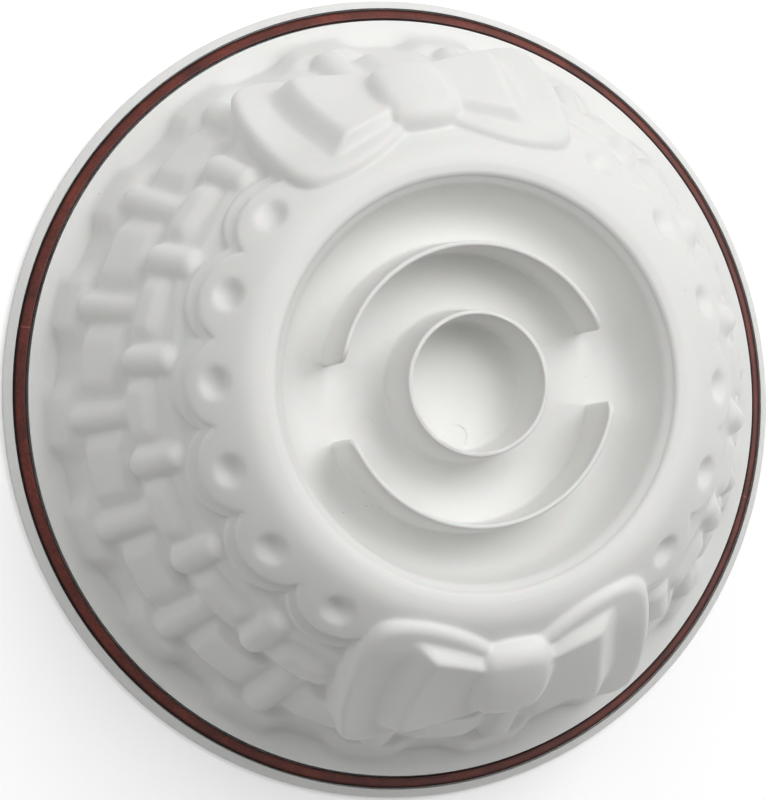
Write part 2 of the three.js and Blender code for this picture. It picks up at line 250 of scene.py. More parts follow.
# Lines and distances


def rounded_line(points: Points, radii: Sequence[float], steps: int = 6) -> Array:
    """Line through corner points in which each corner is an arc of its own radius.

    At a corner with half opening angle h, the arc touches both legs at r / tan h
    from the corner, and its middle lies on the line that halves the corner.

    Args:
        points: Corner points.
        radii: Radius at each corner, 0 for a sharp one.
        steps: Steps in an arc.

    Returns:
        The points of the line.
    """
    corners = np.asarray(points, float)
    line = [corners[:1]]
    for before, corner, after, radius in zip(corners, corners[1:], corners[2:], radii[1:]):
        back, ahead = before - corner, after - corner
        back, ahead = back / np.linalg.norm(back), ahead / np.linalg.norm(ahead)
        half = 0.5 * math.acos(float(np.clip(back @ ahead, -1, 1)))
        if radius <= 0 or half > math.radians(89):
            line.append(corner[None])
            continue
        middle = corner + (back + ahead) / np.linalg.norm(back + ahead) * radius / math.sin(half)
        start = corner + back * radius / math.tan(half) - middle
        end = corner + ahead * radius / math.tan(half) - middle
        sweep = math.acos(float(np.clip(start @ end / radius**2, -1, 1)))
        share = np.linspace(0, 1, steps + 1)[:, None]
        arc = np.sin((1 - share) * sweep) * start + np.sin(share * sweep) * end
        line.append(middle + arc / math.sin(sweep))
    line.append(corners[-1:])
    return np.concatenate(line)


def softened(points: Points, times: int = 4) -> Array:
    """Smooth curve from a line: each pass cuts every corner at a quarter of both legs.

    Args:
        points: Points of the line.
        times: Passes.

    Returns:
        The points of the curve, with the same ends.
    """
    line = np.asarray(points, float)
    for _ in range(times):
        early = line[:-1] * 0.75 + line[1:] * 0.25
        late = line[:-1] * 0.25 + line[1:] * 0.75
        inner = np.stack([early, late], axis=1).reshape(-1, 2)
        line = np.concatenate([line[:1], inner, line[-1:]])
    return line


def outline_distance(across: Array, down: Array, corners: Array) -> Array:
    """Signed distance to a closed outline, below 0 inside it.

    The distance is that of the nearest side, and a point is inside where a ray from
    it crosses the sides an odd number of times.

    Args:
        across: First coordinate of the points.
        down: Second coordinate of the points.
        corners: Corners of the outline.

    Returns:
        The distances.
    """
    nearest = np.full(np.broadcast(across, down).shape, np.inf, np.float32)
    sign = np.ones_like(nearest)
    for start, end in zip(corners, np.roll(corners, -1, axis=0)):
        leg = end - start
        x, y = across - start[0], down - start[1]
        share = np.clip((x * leg[0] + y * leg[1]) / float(leg @ leg), 0, 1)
        nearest = np.minimum(nearest, (x - share * leg[0]) ** 2 + (y - share * leg[1]) ** 2)
        level = (start[1] <= down) != (end[1] <= down)
        run = np.where(level, (down - start[1]) / (leg[1] if leg[1] else 1.0), 0)
        sign = np.where(level & (across < start[0] + run * leg[0]), -sign, sign)
    return sign * np.sqrt(nearest)


def line_place(radius: Array, height: Array, line: Array) -> tuple[Array, Array]:
    """Where points lie along a line, and how far above it.

    Args:
        radius: Radius of the points.
        height: Height of the points.
        line: Points of the line, in order outwards.

    Returns:
        Length along the line, and signed distance, above 0 on the upper side.
    """
    best = np.full(np.broadcast(radius, height).shape, np.inf)
    along, above = np.zeros_like(best), np.zeros_like(best)
    lengths = np.linalg.norm(np.diff(line, axis=0), axis=1)
    for start, end, length, before in zip(line, line[1:], lengths, np.cumsum(lengths) - lengths):
        leg = (end - start) / length
        x, y = radius - start[0], height - start[1]
        place = x * leg[0] + y * leg[1]
        share = np.clip(place, 0, length)
        gap = np.hypot(x - share * leg[0], y - share * leg[1])
        near = gap < best
        side = y * leg[0] - x * leg[1]
        best = np.where(near, gap, best)
        along = np.where(near, before + share, along)
        above = np.where(near, np.where(side < 0, -gap, gap), above)
    return along, above


def soft_min(a: Array, b: Array, width: float) -> Array:
    """Join of two solids with a fillet: the lower distance, less (w - |a - b|)^2 / 4w near it."""
    return np.minimum(a, b) - np.maximum(width - np.abs(a - b), 0) ** 2 / (4 * width)


def soft_max(a: Array, b: Array, width: float) -> Array:
    """Common part of two solids with a softened edge: soft_min turned over."""
    return -soft_min(-a, -b, width)


def round_max(a: Array, b: Array, radius: float) -> Array:
    """Common part of two solids whose shared edge is an arc: the length of (a + r, b + r) above 0, less r."""
    over = np.hypot(np.maximum(a + radius, 0), np.maximum(b + radius, 0))
    return over - radius + np.minimum(np.maximum(a + radius, b + radius), 0)


def quarter_round(share: Array) -> Array:
    """Height of a quarter circle from 0 to 1: sqrt(1 - (1 - s)^2) of a share held between 0 and 1."""
    return np.sqrt(np.maximum(1 - (1 - np.clip(share, 0, 1)) ** 2, 0))


def smooth_step(share: Array) -> Array:
    """3 s^2 - 2 s^3 of a share held between 0 and 1."""
    held = np.clip(share, 0, 1)
    return held * held * (3 - 2 * held)


@dataclass(frozen=True)
class Space:
    """Points of a net: angle, radius and height, shaped so that they spread over each other."""

    turn: Array
    radius: Array
    height: Array


@dataclass(frozen=True)
class PolarNet:
    """Net of points round the Z axis, on which a distance field is sampled and skinned."""

    turns: int
    radii: Array
    heights: Array

    def half(self) -> Space:
        """Points from +X over +Y to -X, which is enough for a shape that repeats after half a turn."""
        turn = np.arange(self.turns // 2) * 2 * np.pi / self.turns
        return Space(
            turn[:, None, None].astype(np.float32),
            self.radii[None, :, None].astype(np.float32),
            self.heights[None, None, :].astype(np.float32),
        )

    @staticmethod
    def eased(values: Array, times: int = 2) -> Array:
        """Softens a field a little: each pass takes half of a value and a quarter of both neighbours.

        Args:
            values: Distances over half a turn.
            times: Passes along all three axes.

        Returns:
            The softened distances, with the outer borders as they were.
        """
        for _ in range(times):
            values = (np.roll(values, 1, axis=0) + 2 * values + np.roll(values, -1, axis=0)) / 4
            values[:, 1:-1] = (values[:, :-2] + 2 * values[:, 1:-1] + values[:, 2:]) / 4
            values[..., 1:-1] = (values[..., :-2] + 2 * values[..., 1:-1] + values[..., 2:]) / 4
        return values

    @staticmethod
    def unpinched(values: Array, times: int = 12, filled: float = -0.05) -> Array:
        """Fills single nodes until no face of the net has just two opposite corners inside.

        Such a face would give an edge with four faces, where two surfaces touch.

        Args:
            values: Distances over half a turn.
            times: Most passes.
            filled: Distance at a filled node, a little below 0.

        Returns:
            The distances.
        """
        for _ in range(times):
            inside = values < 0
            fill = np.zeros_like(inside)
            for first, second in ((0, 1), (0, 2), (1, 2)):
                ahead, beside = np.roll(inside, -1, axis=first), np.roll(inside, -1, axis=second)
                across = np.roll(ahead, -1, axis=second)
                fill |= ahead & beside & ~inside & ~across
                fill |= np.roll(inside & across & ~ahead & ~beside, 1, axis=first)
            if not fill.any():
                break
            values = np.where(fill, np.float32(filled), values)
        return values

    def skin(self, values: Array) -> tuple[Array, Array, Array]:
        """Surface where the values pass 0, over two half turns: one point in each cell that it crosses.

        The point is the mean of the places where the cell's edges cross 0, found by
        straight interpolation. Each crossed edge gives a face through the four cells
        round it, and an edge on the axis gives a triangle to the pole.

        Args:
            values: Distances over half a turn, by angle, radius and height. They are
                above 0 on all outer borders of the net.

        Returns:
            Points, quads and triangles.
        """
        values = np.tile(values, (2, 1, 1))
        turns, rows, levels = values.shape
        inside = values < 0
        full = inside.astype(np.int8)
        full = full + np.roll(full, -1, axis=0)
        full = full[:, :-1] + full[:, 1:]
        full = full[:, :, :-1] + full[:, :, 1:]
        cells = np.flatnonzero((full > 0) & (full < 8))
        i, j, k = np.unravel_index(cells, full.shape)
        corner = {c: values[(i + c[0]) % turns, j + c[1], k + c[2]] for c in product((0, 1), repeat=3)}
        place, count = np.zeros((3, len(cells))), np.zeros(len(cells))
        for axis in range(3):
            for others in product((0, 1), repeat=2):
                start = others[:axis] + (0,) + others[axis:]
                end = others[:axis] + (1,) + others[axis:]
                low, high = corner[start], corner[end]
                crossed = (low < 0) != (high < 0)
                share = np.where(crossed, low / np.where(crossed, low - high, 1), 0)
                for other in range(3):
                    place[other] += crossed * (share if other == axis else start[other])
                count += crossed
        place /= count
        turn = (i + place[0]) * 2 * np.pi / turns
        radius = self.radii[j] * (1 - place[1]) + self.radii[j + 1] * place[1]
        height = self.heights[k] * (1 - place[2]) + self.heights[k + 1] * place[2]
        points = np.stack([radius * np.cos(turn), radius * np.sin(turn), height], axis=1)

        def number(a: Array, b: Array, c: Array) -> Array:
            """Number of the point in a cell."""
            return np.searchsorted(cells, ((a % turns) * (rows - 1) + b) * (levels - 1) + c)

        quads = []
        a, b, c = np.nonzero(inside[:, 1:-1, 1:-1] != np.roll(inside, -1, axis=0)[:, 1:-1, 1:-1])
        b, c = b + 1, c + 1
        ring = [number(a, b - 1, c - 1), number(a, b - 1, c), number(a, b, c), number(a, b, c - 1)]
        quads.append((np.stack(ring, 1), inside[a, b, c]))
        a, b, c = np.nonzero(inside[:, :-1, 1:-1] != inside[:, 1:, 1:-1])
        c = c + 1
        ring = [number(a - 1, b, c - 1), number(a, b, c - 1), number(a, b, c), number(a - 1, b, c)]
        quads.append((np.stack(ring, 1), inside[a, b, c]))
        a, b, c = np.nonzero(inside[:, 1:-1, :-1] != inside[:, 1:-1, 1:])
        b = b + 1
        ring = [number(a - 1, b - 1, c), number(a - 1, b, c), number(a, b, c), number(a, b - 1, c)]
        quads.append((np.stack(ring, 1), inside[a, b, c]))
        faces = np.concatenate([np.where(out[:, None], q, q[:, ::-1]) for q, out in quads])

        a, c = np.nonzero(inside[:, 0, :-1] != inside[:, 0, 1:])
        levels_met = np.unique(c)
        low, high = values[0, 0, levels_met], values[0, 0, levels_met + 1]
        at = low / (low - high)
        poles = np.zeros((len(levels_met), 3))
        poles[:, 2] = self.heights[levels_met] * (1 - at) + self.heights[levels_met + 1] * at
        pole = len(points) + np.searchsorted(levels_met, c)
        fan = np.stack([pole, number(a - 1, c * 0, c), number(a, c * 0, c)], 1)
        fan = np.where(inside[a, 0, c][:, None], fan, fan[:, ::-1])
        return np.concatenate([points, poles]), faces, fan


# The moulding's forms


@dataclass(frozen=True)
class WovenWall:
    """Leaning basket wall with three woven rows: strands swell between the bare stakes."""

    flange: tuple[float, float] = (103.0, 6.6)
    foot: tuple[float, float] = (96.5, 7.5)
    top: tuple[float, float] = (78.1, 58.0)
    cap: tuple[tuple[float, float], ...] = ((70.0, 64.0), (62.0, 72.0), (56.0, 75.0), (PAST_AXIS, 75.0))
    deep: float = -40.0
    period: float = math.radians(20)
    crowding: float = 0.075
    twist: float = math.radians(5.5)
    rows: tuple[tuple[float, float], ...] = ((-2.6, 14.0), (12.2, 34.4), (33.0, 49.5))
    strand_turn: tuple[float, ...] = (0.0, math.radians(10), 0.0)
    strand_bulge: tuple[float, ...] = (3.3, 2.9, 3.0)
    strand_edge: tuple[float, ...] = (5.6, 4.2, 6.4)
    strand_wave: float = 0.66
    stakes: tuple[tuple[float, float], ...] = ((8.9, 38.0), (34.0, 56.0))
    stake_half: tuple[float, float] = (4.5, 5.0)
    stake_proud: tuple[float, float] = (4.6, 2.7)
    stake_fillet: float = 1.3
    bow_hides: tuple[float, float] = (math.radians(9), math.radians(31))

    @property
    def lean(self) -> float:
        """Angle of the wall from upright."""
        return math.atan2(self.foot[0] - self.top[0], self.top[1] - self.foot[1])

    def base(self) -> Array:
        """Outline of the plain wall on its flange, closed past the axis.

        Returns:
            Corners (radius, height).
        """
        below = [(PAST_AXIS, self.deep), (self.flange[0], self.deep)]
        return np.array([*below, self.flange, self.foot, self.top, *self.cap])

    def phase(self, space: Space) -> Array:
        """Angle in the weave: crowded by k / 2 sin 2t towards X and -X, and turned by the twist."""
        return space.turn + 0.5 * self.crowding * np.sin(2 * space.turn) + self.twist

    def distance(self, space: Space) -> Array:
        """Distance to the wall: a turned solid, less the swell of the strands, joined to the stakes.

        A strand's swell is its height times a smooth step of the cosine of the angle,
        counted in periods, times a flat-topped step across the row. A stake is a
        capsule up the wall, which sinks a little towards its upper end: the length of
        (round the wall, beyond its straight part, out of the wall), less its radius.

        Args:
            space: Points.

        Returns:
            Distances.
        """
        radius, height = space.radius[0], space.height[0]
        out = outline_distance(radius, height, self.base())
        up = (self.foot[0] - radius) * math.sin(self.lean) + (height - self.foot[1]) * math.cos(self.lean)
        turn = self.phase(space)
        solid = out[None]
        strands = zip(self.rows, self.strand_turn, self.strand_bulge, self.strand_edge)
        for (low, high), shift, bulge, edge in strands:
            band = smooth_step((up - low) / edge) * smooth_step((high - up) / edge)
            swing = np.cos(2 * np.pi / self.period * (turn - shift))
            wave = smooth_step(self.strand_wave + self.strand_wave * swing)
            solid = solid - bulge * wave * band[None]
        for row, ((low, high), half) in enumerate(zip(self.stakes, self.stake_half), 1):
            shift = self.strand_turn[row] + self.period / 2
            off = (turn - shift + self.period / 2) % self.period - self.period / 2
            straight = np.maximum(np.abs(up - (low + high) / 2) - ((high - low) / 2 - half), 0)
            share = smooth_step((up - low) / (high - low))
            proud = self.stake_proud[0] * (1 - share) + self.stake_proud[1] * share
            rise = out - (proud - half)
            stake = np.sqrt((space.radius * off) ** 2 + (straight**2 + rise**2)[None]) - half
            if row == len(self.stakes):
                beside = np.abs(space.turn - np.pi / 2)
                hidden = (beside > self.bow_hides[0]) & (beside < self.bow_hides[1])
                stake = np.where(hidden, HIDDEN, stake)
            solid = soft_min(solid, stake, self.stake_fillet)
        return solid


@dataclass(frozen=True)
class Cloth:
    """Cloth over the shoulder, with a scalloped hem of three layers and a dimple in each scallop."""

    line: tuple[tuple[float, float], ...] = (
        (0.0, 79.9), (40.0, 79.9), (54.0, 79.9), (58.0, 79.85), (61.0, 79.4), (63.5, 78.2), (66.0, 76.2),
        (69.0, 73.4), (72.0, 70.2), (75.0, 66.7), (78.5, 62.4), (82.0, 58.2), (120.0, 14.0),
    )
    scallop_radius: float = 14.6
    scallop_reach: float = 74.0
    layer_tip: tuple[float, ...] = (9.5, 15.0, 20.0)
    layer_drop: tuple[float, ...] = (0.0, 2.1, 3.8)
    layer_round: tuple[float, ...] = (1.6, 1.0, 0.9)
    layer_fillet: float = 0.35
    depth: float = 14.0
    period: float = math.radians(20)
    dimple_place: float = 70.2
    dimple_radius: float = 4.9
    dimple_lift: float = 2.5
    dimple_lean: tuple[float, float] = (0.6, 0.8)
    dimple_soft: float = 1.5
    crowding: float = 0.05
    bow_hides: float = math.radians(33)

    def place(self, space: Space) -> tuple[Array, Array, float]:
        """Length down the cloth's curve from its dimples, distance above it, and the dimple's height.

        Args:
            space: Points.

        Returns:
            Length, distance, and the curve's height at the dimples.
        """
        curve = softened(self.line, 3)
        along, above = line_place(space.radius[0], space.height[0], curve)
        lengths = np.concatenate([[0], np.cumsum(np.linalg.norm(np.diff(curve, axis=0), axis=1))])
        start = float(np.interp(self.dimple_place, curve[:, 0], lengths))
        level = float(np.interp(self.dimple_place, curve[:, 0], curve[:, 1]))
        return along - start, above, level

    def offset(self, space: Space) -> Array:
        """Angle from the middle of the nearest scallop, with the scallops crowded by k / 2 sin 2t."""
        turn = space.turn + 0.5 * self.crowding * np.sin(2 * space.turn)
        return turn % self.period - self.period / 2

    def distance(self, space: Space) -> Array:
        """Distance to the layered cloth.

        A scallop's edge is a circle on the unrolled cloth: the length of (round the
        basket, down the cloth from the circle's middle), less its radius. A lower
        layer's circle lies further down, and its face a drop deeper.

        Args:
            space: Points.

        Returns:
            Distances.
        """
        down, above, _ = self.place(space)
        round_basket = self.scallop_reach * self.offset(space)
        floor = -self.depth - above
        solid = None
        for tip, drop, rounding in zip(self.layer_tip, self.layer_drop, self.layer_round):
            below = (down - tip + self.scallop_radius)[None]
            edge = np.sqrt(round_basket**2 + below**2) - self.scallop_radius
            edge = np.where(below < 0, np.minimum(edge, below), edge).astype(np.float32)
            face = np.maximum(above + drop, floor)[None].astype(np.float32)
            sheet = round_max(np.broadcast_to(face, edge.shape), edge, rounding)
            solid = sheet if solid is None else soft_min(solid, sheet, self.layer_fillet)
        return solid

    def dimples(self, space: Space) -> Array:
        """Distance to the balls that press the dimples: the length to a ball's middle, less its radius.

        Args:
            space: Points.

        Returns:
            Distances.
        """
        _, _, level = self.place(space)
        ball_radius = self.dimple_place + self.dimple_lift * self.dimple_lean[0]
        ball_height = level + self.dimple_lift * self.dimple_lean[1]
        flat = space.radius**2 + ball_radius**2 - 2 * space.radius * ball_radius * np.cos(self.offset(space))
        ball = np.sqrt(np.maximum(flat + (space.height - ball_height) ** 2, 0)) - self.dimple_radius
        return np.where(np.abs(space.turn - np.pi / 2) < self.bow_hides, HIDDEN, ball)


@dataclass(frozen=True)
class Bow:
    """Bow on the shoulder: two loops that hug the cloth, a raised pillow on each, and the knot."""

    middle: tuple[float, float] = (74.0, 58.0)
    tilt: float = math.radians(36.4)
    crest: float = 79.9
    begins: float = math.radians(48)
    loop: tuple[tuple[float, float], ...] = (
        (2.0, -12.0), (12.0, -21.0), (25.0, -25.6), (37.8, -24.4), (42.4, -8.0),
        (44.0, 12.0), (41.5, 28.0), (20.0, 25.5), (2.0, 12.0),
    )
    loop_hug: float = 2.7
    loop_round: float = 2.3
    loop_thick: float = 3.3
    pillow_outer: tuple[tuple[float, float], ...] = (
        (-4.0, -40.0), (25.0, -40.0), (28.5, -22.0), (31.5, -6.0), (35.0, 14.0), (31.0, 23.0),
        (13.0, 20.0), (-4.0, 14.0),
    )
    pillow_inner: tuple[tuple[float, float], ...] = (
        (-4.0, -7.0), (8.0, -14.0), (18.0, -18.5), (40.0, -24.0), (55.0, 0.0), (55.0, 40.0), (-4.0, 40.0),
    )
    pillow_proud: float = 6.4
    pillow_least: float = 3.6
    pillow_run: tuple[float, float] = (5.4, 2.2)
    pillow_bend: float = 1.6
    pillow_edge: float = 0.5
    hug_ends: float = -16.0
    hug_fall: float = 0.3
    face_blend: float = 4.0
    thick_blend: float = 2.0
    crest_blend: float = 1.0
    knot: tuple[tuple[float, float], ...] = (
        (-11.3, -12.0), (-7.5, -17.2), (7.5, -17.2), (11.3, -12.0), (10.8, 6.0), (7.0, 10.8),
        (-7.0, 10.8), (-10.8, 6.0),
    )
    knot_proud: float = 12.8
    knot_round: float = 4.2
    knot_crown: tuple[float, float] = (0.012, 0.012)
    knot_middle: float = -4.0
    knot_fillet: float = 0.8
    table_step: float = 0.25
    table_reach: float = 60.0
    depth: float = 18.0

    def outline(self, across: Array, down: Array, corners: Points) -> Array:
        """Distance to a closed curve on the bow's face, which comes from cutting an outline's corners.

        The distance is worked out on a fine flat grid, and points between its nodes
        take the mean of the four nearest, weighted by nearness.

        Args:
            across: Points along the bow.
            down: Points down the bow's face.
            corners: Corners of the outline.

        Returns:
            Distances.
        """
        line = np.asarray(corners, float)
        for _ in range(4):
            ahead = np.roll(line, -1, axis=0)
            line = np.stack([line * 0.75 + ahead * 0.25, line * 0.25 + ahead * 0.75], axis=1).reshape(-1, 2)
        reach = np.arange(0, self.table_reach, self.table_step)
        span = np.arange(-self.table_reach, self.table_reach, self.table_step)
        table = outline_distance(reach[:, None], span[None, :], line)
        x = np.clip(across / self.table_step, 0, len(reach) - 1.001)
        y = np.clip((down - span[0]) / self.table_step, 0, len(span) - 1.001)
        i, j = x.astype(int), y.astype(int)
        x, y = x - i, y - j
        early = table[i, j] * (1 - y) + table[i, j + 1] * y
        late = table[i + 1, j] * (1 - y) + table[i + 1, j + 1] * y
        return (early * (1 - x) + late * x).astype(np.float32)

    def distance(self, space: Space, above: Array) -> Array:
        """Distance to one bow, in coordinates along it, down its face and out of its face.

        A loop is a slab whose face is the higher of the bow's plane and a sheet at a
        set height above the cloth, which falls away down the face. The pillow lifts
        that face, inside its two outlines, to a higher plane: by a share that grows with
        a power of the length from an outline, up to 1 at the end of its run. The knot's
        face is crowned. Sides follow outlines, and side and face meet in an arc.

        Args:
            space: Points.
            above: Distance above the cloth, by radius and height.

        Returns:
            Distances.
        """
        across = np.abs(space.radius * np.cos(space.turn))
        forth = space.radius * np.sin(space.turn) - self.middle[0]
        across, forth, up = np.broadcast_arrays(across, forth, space.height - self.middle[1])
        down = forth * math.sin(self.tilt) - up * math.cos(self.tilt)
        out = forth * math.cos(self.tilt) + up * math.sin(self.tilt)
        cloth = above[None] + self.hug_fall * np.maximum(down - self.hug_ends, 0)
        face = soft_min(out, cloth - self.loop_hug, self.face_blend)
        face = soft_max(face, above[None] - self.loop_thick, self.thick_blend)
        raised = soft_min(out - self.pillow_proud, face - self.pillow_least, self.face_blend)
        share = np.ones_like(face)
        for corners, run in zip((self.pillow_outer, self.pillow_inner), self.pillow_run):
            inward = np.maximum(-self.outline(across, down, corners) / run, 0)
            share = soft_min(share, inward**self.pillow_bend, self.pillow_edge)
        face = face + (raised - face) * np.maximum(share, 0)
        solid = round_max(self.outline(across, down, self.loop), face, self.loop_round)
        crown = self.knot_crown[0] * across**2 + self.knot_crown[1] * (down - self.knot_middle) ** 2
        side = self.outline(across, down, self.knot)
        knot = round_max(side, out - self.knot_proud + crown, self.knot_round)
        solid = soft_min(solid, knot, self.knot_fillet)
        solid = np.maximum(solid, -self.depth - out)
        return soft_max(solid, space.height - self.crest, self.crest_blend)


@dataclass(frozen=True)
class Dish:
    """Dish in the base, with the round foot in its middle and an ejector mark beside and inside the foot."""

    crest: float = 79.99
    floor: float = 62.0
    floor_radius: float = 49.2
    floor_round: float = 8.5
    mouth: tuple[tuple[float, float], ...] = ((52.6, 76.2), (54.6, 78.2), (55.3, 79.5))
    mouth_round: tuple[float, ...] = (5.0, 0.8, 1.9)
    mouth_margin: float = 5.5
    mouth_lift: float = 0.1
    over: float = 4.0
    cup_outer: float = 19.4
    cup_wall: float = 1.3
    cup_draft: float = 0.9
    cup_fillet: float = 1.4
    cup_flat: float = 0.02
    cup_apron: float = 12.0
    marks: tuple[tuple[float, float, float], ...] = ((-27.5, -6.0, 2.7), (-3.2, -13.0, 3.3))
    mark_depth: float = 0.22
    mark_segments: int = 40
    segments: int = 192

    def bowl(self) -> Array:
        """Profile of the dish without its foot, from the axis to above the mouth.

        Returns:
            Points (radius, height).
        """
        edge = self.mouth[-1][0] + self.mouth_margin
        corners = [
            (0.0, self.floor),
            (self.floor_radius, self.floor),
            *self.mouth,
            (edge, self.crest + self.mouth_lift),
            (edge, self.crest + self.over),
        ]
        return rounded_line(corners, [0, self.floor_round, *self.mouth_round, 0, 0], 7)

    def distance(self, space: Space) -> Array:
        """Distance to the dish's hollow, below 0 inside it."""
        past = np.array([(PAST_AXIS, self.crest + self.over), (PAST_AXIS, self.floor)])
        outline = np.concatenate([self.bowl()[1:], past])
        return outline_distance(space.radius[0], space.height[0], outline)[None]

    def hollow(self) -> Solid:
        """Solid that cuts the dish and leaves its round foot standing.

        Returns:
            The solid.
        """
        inner, outer = self.cup_outer - self.cup_wall, self.cup_outer
        top = self.cup_wall / 2 - self.cup_flat
        cup = rounded_line(
            [
                (0.0, self.floor),
                (inner - self.cup_draft, self.floor),
                (inner, self.crest),
                (outer, self.crest),
                (outer + self.cup_draft, self.floor),
                (outer + self.cup_apron, self.floor),
            ],
            [0, self.cup_fillet, top, top, self.cup_fillet, 0],
            5,
        )
        profile = np.concatenate([cup[:-1], self.bowl()[1:], [(0.0, self.crest + self.over)]])
        return turned("dish_hollow", profile, self.segments)

    def ejector_marks(self) -> list[Solid]:
        """Flat discs that press the marks of the ejector pins into the floor.

        Returns:
            The discs.
        """
        discs = []
        for across, forth, radius in self.marks:
            low, high = self.floor - self.mark_depth, self.floor + self.mark_depth
            profile = np.array([(0, low), (radius, low), (radius, high), (0, high)])
            disc = turned("ejector_mark", profile, self.mark_segments)
            disc.data.transform(Matrix.Translation((across, forth, 0)))
            discs.append(disc)
        return discs


@dataclass(frozen=True)
class ArcFoot:
    """Arc-shaped foot in the dish: a thin rib, flared at its root and rounded at its ends."""

    start: float
    end: float
    middle: float = -0.4
    radius: float = 37.3
    crest: float = 79.99
    root: float = 61.6
    half_top: float = 0.7
    half_root: float = 1.3
    flare: float = 1.4
    flare_run: tuple[float, float] = (0.4, 0.5)
    top_round: float = 0.95
    end_round: float = 1.1
    end_drop: float = 4.5
    steps: int = 110

    def section(self) -> Array:
        """Right half of the rib's section, from the root up: (half thickness, height).

        Returns:
            Points.
        """
        return rounded_line(
            [
                (self.half_root + self.flare + self.flare_run[0], self.root),
                (self.half_root, self.root + self.flare_run[1]),
                (self.half_top, self.crest),
                (0.0, self.crest),
            ],
            [0, self.flare, self.half_top * self.top_round, 0],
            5,
        )

    def solid(self) -> Solid:
        """Carries the section along the arc and closes it at both ends.

        At a distance e from an end, closer than the rounding r, the thickness is
        multiplied by sqrt(1 - (1 - e / r)^2), so the end is a half round, and the
        top drops by a quarter circle.

        Returns:
            The foot.
        """
        half = self.section()
        wide = np.concatenate([half[:, 0], -half[::-1, 0][1:]])
        high = np.concatenate([half[:, 1], half[::-1, 1][1:]])
        span = self.end - self.start
        near = self.end_round * (1 - np.cos(np.linspace(0, np.pi / 2, 7))) / self.radius
        between = np.linspace(near[-1], span - near[-1], self.steps)[1:-1]
        turn = np.concatenate([near, between, span - near[::-1]])
        left = np.minimum(turn, span - turn) * self.radius
        squeeze = quarter_round(left / self.end_round)
        drop = self.end_drop * (1 - quarter_round(left / self.end_drop))
        radius = self.radius + squeeze[:, None] * wide
        share = np.clip((high - self.root) / (self.crest - self.root), 0, 1)
        height = high - drop[:, None] * share**4
        angle = turn[:, None] + self.start
        grid = np.stack([radius * np.cos(angle), radius * np.sin(angle) + self.middle, height], axis=-1)
        rows, columns = grid.shape[:2]
        index = np.arange(rows * columns).reshape(rows, columns)
        index[[0, -1], columns // 2 + 1:] = index[[0, -1], columns // 2 - 1::-1]
        ahead = index[1:]
        over, both = np.roll(index[:-1], -1, axis=1), np.roll(ahead, -1, axis=1)
        quads = np.stack([index[:-1], ahead, both, over], axis=-1).reshape(-1, 4)
        return put_mesh("arc_foot", *split_pinched(grid.reshape(-1, 3), quads))


def split_pinched(vertices: Array, quads: Array) -> tuple[Array, Array, Array]:
    """Turns quads with a doubled corner into triangles and drops those with none left.

    Args:
        vertices: All points.
        quads: Four point numbers per row, some of them alike.

    Returns:
        Used points, whole quads and triangles.
    """
    alike = [quads[:, n] == quads[:, (n + 1) % 4] for n in range(4)]
    number = np.sum(alike, axis=0)
    triangles = [quads[(number == 1) & alike[n]][:, [m for m in range(4) if m != n]] for n in range(4)]
    return tidy_points(vertices, quads[number == 0], np.concatenate(triangles))


@dataclass(frozen=True)
class Rim:
    """Rim with its outer lip and the groove that holds the stiffening ring."""

    inside: float = 98.0
    outer: float = 109.99
    lip: float = 2.0
    lip_edge: float = 0.45
    ledge: tuple[float, float] = (104.0, 6.6)
    wall: tuple[float, float] = (99.5, 7.0)
    groove: tuple[float, float] = (104.0, 107.8)
    groove_bottom: float = 1.65
    groove_top: float = 8.6
    undercut: float = 1.0
    undercut_top: float = 5.4
    parting: float = 0.12
    ledge_round: float = 0.5
    groove_round: float = 0.25
    segments: int = 288

    def solid(self) -> Solid:
        """Turned rim: flat below, a lip with a fine parting line, and a slope up to the wall.

        Returns:
            The rim.
        """
        mid = self.lip * 0.5
        profile = rounded_line(
            [
                (self.inside, 0.0),
                (self.outer, 0.0),
                (self.outer, mid - self.parting),
                (self.outer - self.parting, mid),
                (self.outer, mid + self.parting),
                (self.outer, self.lip),
                self.ledge,
                self.wall,
                (self.inside, self.wall[1]),
            ],
            [0, self.lip_edge, 0, 0, 0, self.lip_edge, self.ledge_round, 0, 0],
            4,
        )
        return turned("rim", profile, self.segments)

    def slot(self) -> Solid:
        """Turned solid that cuts the groove, which is undercut on its inner side to hold the ring.

        Returns:
            The solid.
        """
        low, high = self.groove
        profile = rounded_line(
            [
                (low, self.groove_top),
                (low, self.undercut_top),
                (low - self.undercut, self.undercut_top - self.undercut),
                (low - self.undercut, self.groove_bottom),
                (high, self.groove_bottom),
                (high, self.groove_top),
                (low, self.groove_top),
            ],
            [0, 0, *[self.groove_round] * 3, 0, 0],
            2,
        )[:-1]
        return turned("ring_groove", profile, self.segments)


# Finishes


def linear(code: str) -> tuple[float, float, float, float]:
    """Linear colour of an sRGB hex value.

    Args:
        code: Six hex digits.

    Returns:
        Red, green, blue and an alpha of 1.
    """
    parts = [int(code[n:n + 2], 16) / 255 for n in (0, 2, 4)]
    red, green, blue = [c / 12.92 if c <= 0.04045 else ((c + 0.055) / 1.055) ** 2.4 for c in parts]
    return red, green, blue, 1.0


def add_node(tree: Tree, kind: str, links: dict[str | int, Any], **settings: Any) -> bpy.types.Node:
    """Adds a node, sets its properties, and feeds its inputs with sockets or values.

    Args:
        tree: Node tree.
        kind: Node type.
        links: Input name or number to a socket to link, or a value to set.
        **settings: Properties of the node.

    Returns:
        The node.
    """
    node = tree.nodes.new(kind)
    for name, value in settings.items():
        setattr(node, name, value)
    for name, value in links.items():
        if isinstance(value, Socket):
            tree.links.new(value, node.inputs[name])
        else:
            node.inputs[name].default_value = value
    return node


